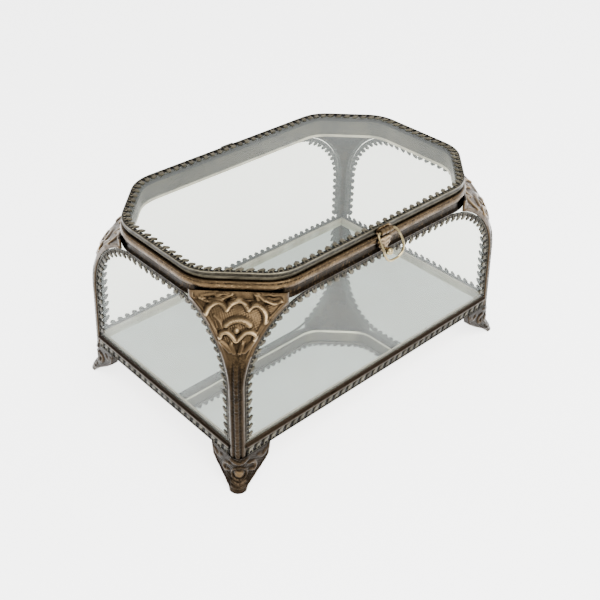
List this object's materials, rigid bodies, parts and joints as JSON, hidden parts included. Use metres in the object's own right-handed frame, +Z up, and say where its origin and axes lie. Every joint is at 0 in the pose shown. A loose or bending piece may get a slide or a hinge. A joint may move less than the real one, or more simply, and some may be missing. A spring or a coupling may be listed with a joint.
{
  "type": "glass trinket box",
  "caption": "Footed glass trinket box with arched panes in pierced brass edging, a mirror floor, a hinged octagonal glass lid and a swinging wire clasp.",
  "frame": {"origin": "on the table plane under the middle of the whole object's box", "axes": "+X along the long side, -Y towards the clasp side, +Z up"},
  "size_m": [0.1892, 0.1252, 0.1025],
  "materials": {
    "aged_brass": "aged copper-bronze plating, worn bright on the raised relief",
    "aged_brass_dark": "dark tarnished plating",
    "pale_brass": "light worn ledge inside the panes",
    "gallery_metal": "pierced strip of small leaves, grey-brown tarnish",
    "bright_brass": "bright drawn wire and rubbed knob",
    "clear_glass": "clear flat sheet glass, slightly marked",
    "mirror_glass": "silvered mirror glass, faintly blue-green",
    "backing_board": "thin dark backing board"
  },
  "bodies": {
    "case": {"arch_gallery_back_a": "gallery_metal", "arch_gallery_back_b": "gallery_metal", "arch_gallery_front_a": "gallery_metal", "arch_gallery_front_b": "gallery_metal", "arch_gallery_left_a": "gallery_metal", "arch_gallery_left_b": "gallery_metal", "arch_gallery_right_a": "gallery_metal", "arch_gallery_right_b": "gallery_metal", "base_gallery_back": "gallery_metal", "base_gallery_front": "gallery_metal", "base_gallery_left": "gallery_metal", "base_gallery_right": "gallery_metal", "base_plate": "backing_board", "body_rim": "aged_brass", "catch_knob": "bright_brass", "catch_plate": "aged_brass", "corner_back_left": "aged_brass", "corner_back_right": "aged_brass", "corner_front_left": "aged_brass", "corner_front_right": "aged_brass", "floor_mirror": "mirror_glass", "foot_back_left": "aged_brass_dark", "foot_back_right": "aged_brass_dark", "foot_front_left": "aged_brass_dark", "foot_front_right": "aged_brass_dark", "hinge_body_leaf": "aged_brass", "hinge_pin": "bright_brass", "pane_back": "clear_glass", "pane_front": "clear_glass", "pane_left": "clear_glass", "pane_right": "clear_glass", "pane_stop_back": "pale_brass", "pane_stop_front": "pale_brass", "pane_stop_left": "pale_brass", "pane_stop_right": "pale_brass", "rail_back": "aged_brass_dark", "rail_front": "aged_brass_dark", "rail_left": "aged_brass_dark", "rail_right": "aged_brass_dark", "top_gallery_back": "gallery_metal", "top_gallery_front": "gallery_metal", "top_gallery_left": "gallery_metal", "top_gallery_right": "gallery_metal"},
    "lid": {"lid_frame": "aged_brass", "lid_glass": "clear_glass", "lid_gallery": "gallery_metal", "hinge_lid_leaf": "aged_brass", "clasp_tab": "aged_brass"},
    "clasp": {"clasp_loop": "bright_brass"}
  },
  "joints": [
    {"name": "lid_hinge", "type": "hinge", "parent": "case", "child": "lid", "pos_m": [0, 0.05801, 0.0981], "axis": [-1, 0, 0], "range_deg": [0, 105]},
    {"name": "clasp_swing", "type": "hinge", "parent": "lid", "child": "clasp", "pos_m": [0, -0.05579, 0.1005], "axis": [-1, 0, 0], "range_deg": [-14, 110]}
  ]
}
